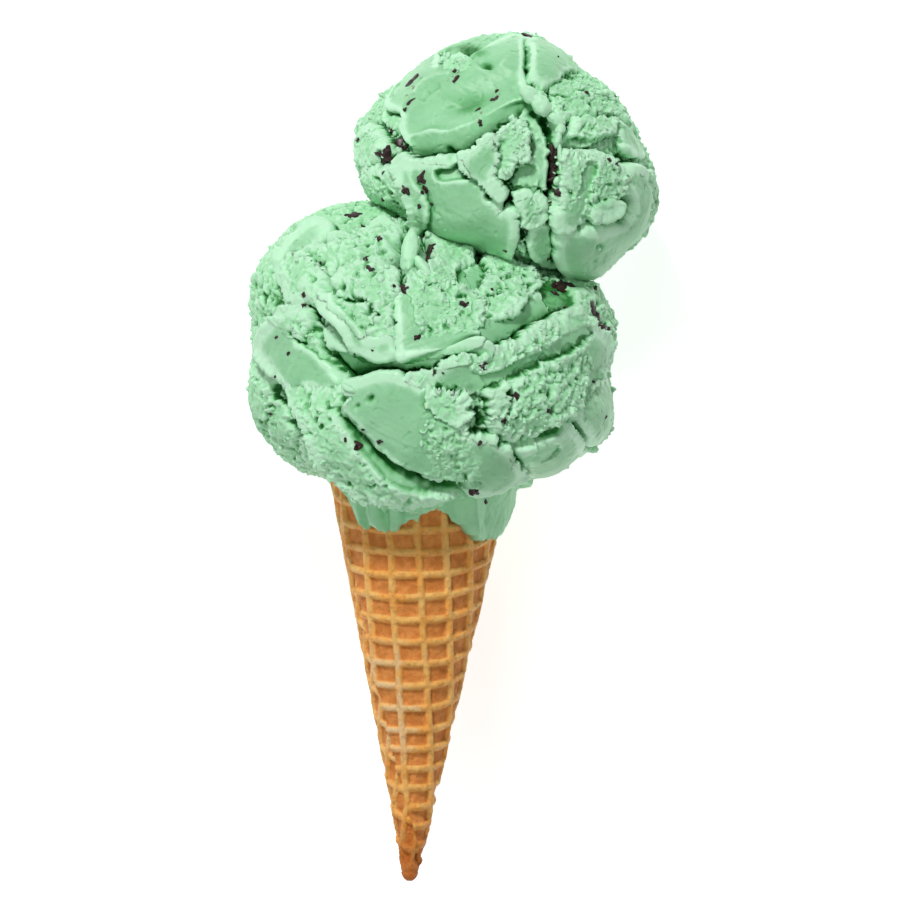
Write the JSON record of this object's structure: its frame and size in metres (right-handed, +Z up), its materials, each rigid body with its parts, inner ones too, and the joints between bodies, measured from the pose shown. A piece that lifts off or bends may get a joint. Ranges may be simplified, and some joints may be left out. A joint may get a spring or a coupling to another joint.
{
  "type": "ice cream cone",
  "caption": "Stacked scoops of mint ice cream with chocolate flakes on a tapered rolled waffle cone, lying on its back.",
  "frame": {"origin": "middle of the bounding box's footprint, on the surface that the scoops rest on", "axes": "+Y from the cone's tip to the top scoop, +Z up, out of the shown side, +X to the right of the shown side"},
  "size_m": [0.1051, 0.2202, 0.0864],
  "materials": {
    "mint_ice_cream": "soft satin, slightly translucent",
    "waffle": "baked, matte",
    "chocolate": "satin dark chocolate"
  },
  "bodies": {
    "root": {"waffle_cone": "waffle", "scoop_lower": "mint_ice_cream", "scoop_upper": "mint_ice_cream"}
  },
  "joints": []
}
